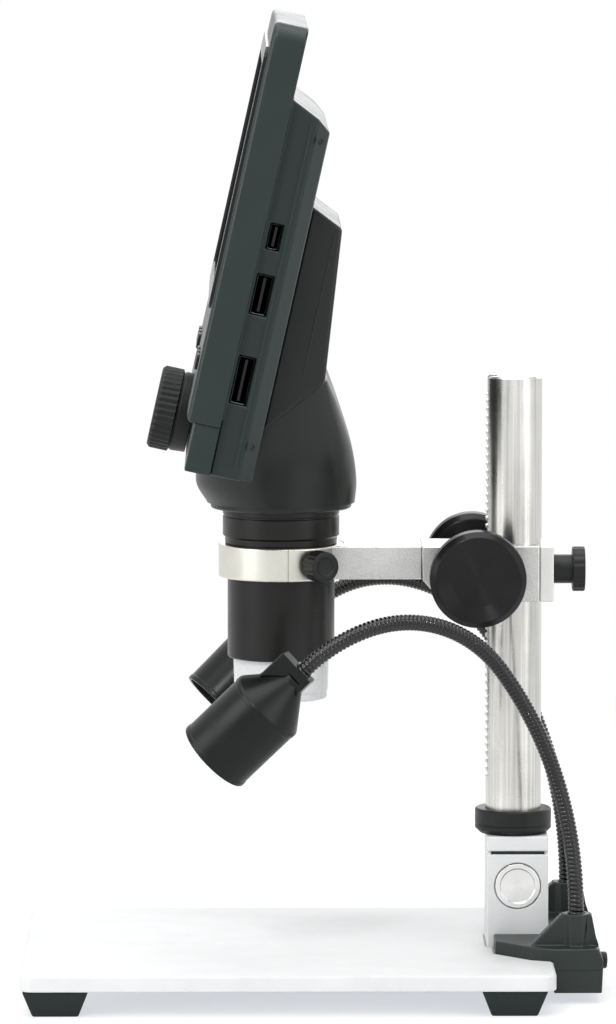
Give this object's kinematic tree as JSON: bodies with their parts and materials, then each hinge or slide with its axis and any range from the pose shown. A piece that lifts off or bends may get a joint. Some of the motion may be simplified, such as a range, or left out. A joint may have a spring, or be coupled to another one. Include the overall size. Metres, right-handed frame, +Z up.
{
  "type": "lcd digital microscope",
  "caption": "Bench digital microscope: a screen leaning back over a lens barrel, held by a ring clamp on a rack-driven post, with a plate base and gooseneck lamps.",
  "frame": {"origin": "on the table, under the middle of the instrument's box", "axes": "+X from the lens towards the post, +Z up from the table, +Y completes the right hand; the screen faces -X"},
  "size_m": [0.2333, 0.1968, 0.3888],
  "materials": {
    "white_plate": "satin white powder coat",
    "dark_rubber": "matt moulded rubber",
    "steel": "machined",
    "bright_aluminium": "brushed and clear anodised",
    "satin_aluminium": "fine sand-blasted and anodised",
    "ring_aluminium": "turned and anodised",
    "brass": "turned",
    "black_plastic": "matt black moulding",
    "black_gloss": "glossy black moulding",
    "head_plastic": "satin dark slate moulding",
    "bracket_plastic": "satin dark slate moulding",
    "screen_glass": "clear over a dark display",
    "screen_dark": "display, switched off",
    "board_green": "solder mask",
    "board_white": "white solder mask",
    "cell_silver": "foil cell wrap",
    "barrel_black": "matt black",
    "clear_plastic": "clear moulding, slightly milky",
    "lens_glass": "coated glass",
    "neck_black": "black coated steel spiral",
    "lamp_black": "satin black moulding",
    "lamp_lens": "frosted clear"
  },
  "bodies": {
    "stand": {"base_plate": "white_plate", "rubber_feet": "dark_rubber", "foot_screws": "steel", "post_foot": "bright_aluminium", "cross_bolt_caps": "bright_aluminium", "post_collar": "black_plastic", "post": "bright_aluminium", "focus_rack": "steel", "lamp_bracket": "bracket_plastic", "power_socket": "steel"},
    "carriage": {"carriage_block": "satin_aluminium", "carriage_end_plate": "satin_aluminium", "shaft_bushes": "brass", "arm": "satin_aluminium", "ring_clamp": "ring_aluminium", "brake_pad": "brass"},
    "focus_drive": {"focus_shaft": "steel", "pinion": "brass", "focus_knob_left": "black_gloss", "focus_knob_right": "black_gloss"},
    "ring_screw": {"ring_thumb_screw": "black_plastic"},
    "brake_screw": {"brake_thumb_screw": "black_plastic"},
    "head": {"front_cover": "head_plastic", "screen_bezel": "black_gloss", "screen_glass": "screen_glass", "display_panel": "screen_dark", "main_board": "board_green", "battery_pack": "cell_silver", "rear_housing": "head_plastic", "camera_housing": "head_plastic", "optical_housing": "head_plastic", "upper_barrel": "barrel_black", "lower_barrel": "barrel_black", "lens_hood": "clear_plastic", "lens_cell": "barrel_black", "objective_lens": "lens_glass", "led_ring": "board_white", "usb_socket": "steel", "hdmi_socket": "steel", "card_slot": "steel"},
    "dial": {"focus_dial": "black_plastic"},
    "switch_button": {"lamp_switch": "black_plastic"},
    "key_1": {"button_1": "black_plastic"},
    "key_2": {"button_2": "black_plastic"},
    "key_3": {"button_3": "black_plastic"},
    "key_4": {"button_4": "black_plastic"},
    "key_5": {"button_5": "black_plastic"},
    "key_6": {"button_6": "black_plastic"},
    "lamp_left": {"gooseneck_left": "neck_black", "neck_sleeve_left": "black_plastic", "lamp_shade_left": "lamp_black", "lamp_board_left": "board_white", "lamp_lens_left": "lamp_lens"},
    "lamp_right": {"gooseneck_right": "neck_black", "neck_sleeve_right": "black_plastic", "lamp_shade_right": "lamp_black", "lamp_board_right": "board_white", "lamp_lens_right": "lamp_lens"}
  },
  "joints": [
    {"name": "focus_travel", "type": "slide", "parent": "stand", "child": "carriage", "axis": [0, 0, 1], "range_m": [-0.045, 0.055]},
    {"name": "focus_knob_spin", "type": "hinge", "parent": "carriage", "child": "focus_drive", "pos_m": [0.06365, 0, 0.16755], "axis": [0, 1, 0], "range_deg": [-516, 631]},
    {"name": "head_turn", "type": "hinge", "parent": "carriage", "child": "head", "pos_m": [-0.014, 0, 0.1785], "axis": [0, 0, 1], "range_deg": [-60, 60]},
    {"name": "ring_screw_turn", "type": "hinge", "parent": "carriage", "child": "ring_screw", "pos_m": [-0.014, 0, 0.1716], "axis": [0.5, -0.866, 0], "range_deg": [-180, 180]},
    {"name": "brake_screw_turn", "type": "hinge", "parent": "carriage", "child": "brake_screw", "pos_m": [0.0946, 0, 0.16755], "axis": [1, 0, 0], "range_deg": [-180, 180]},
    {"name": "focus_dial_turn", "type": "hinge", "parent": "head", "child": "dial", "pos_m": [-0.0522, 0, 0.23061], "axis": [-0.9759, 0, 0.2181], "range_deg": [-135, 135]},
    {"name": "button_1_press", "type": "slide", "parent": "head", "child": "key_1", "axis": [0.9759, 0, -0.2181], "range_m": [0, 0.0008], "stiffness_N_per_m": 300},
    {"name": "button_2_press", "type": "slide", "parent": "head", "child": "key_2", "axis": [0.9759, 0, -0.2181], "range_m": [0, 0.0008], "stiffness_N_per_m": 300},
    {"name": "button_3_press", "type": "slide", "parent": "head", "child": "key_3", "axis": [0.9759, 0, -0.2181], "range_m": [0, 0.0008], "stiffness_N_per_m": 300},
    {"name": "button_4_press", "type": "slide", "parent": "head", "child": "key_4", "axis": [0.9759, 0, -0.2181], "range_m": [0, 0.0008], "stiffness_N_per_m": 300},
    {"name": "button_5_press", "type": "slide", "parent": "head", "child": "key_5", "axis": [0.9759, 0, -0.2181], "range_m": [0, 0.0008], "stiffness_N_per_m": 300},
    {"name": "button_6_press", "type": "slide", "parent": "head", "child": "key_6", "axis": [0.9759, 0, -0.2181], "range_m": [0, 0.0008], "stiffness_N_per_m": 300},
    {"name": "lamp_switch_press", "type": "slide", "parent": "stand", "child": "switch_button", "axis": [-1, 0, 0], "range_m": [0, 0.0008], "stiffness_N_per_m": 300},
    {"name": "lamp_left_swing", "type": "hinge", "parent": "stand", "child": "lamp_left", "pos_m": [0.1027, -0.04, 0.0347], "axis": [0, 0, 1], "range_deg": [-5, 25]},
    {"name": "lamp_right_swing", "type": "hinge", "parent": "stand", "child": "lamp_right", "pos_m": [0.1027, 0.04, 0.0347], "axis": [0, 0, 1], "range_deg": [-25, 5]}
  ],
  "couplings": [
    {"joint": "focus_knob_spin", "follows": "focus_travel", "rad_per_m": 200}
  ]
}
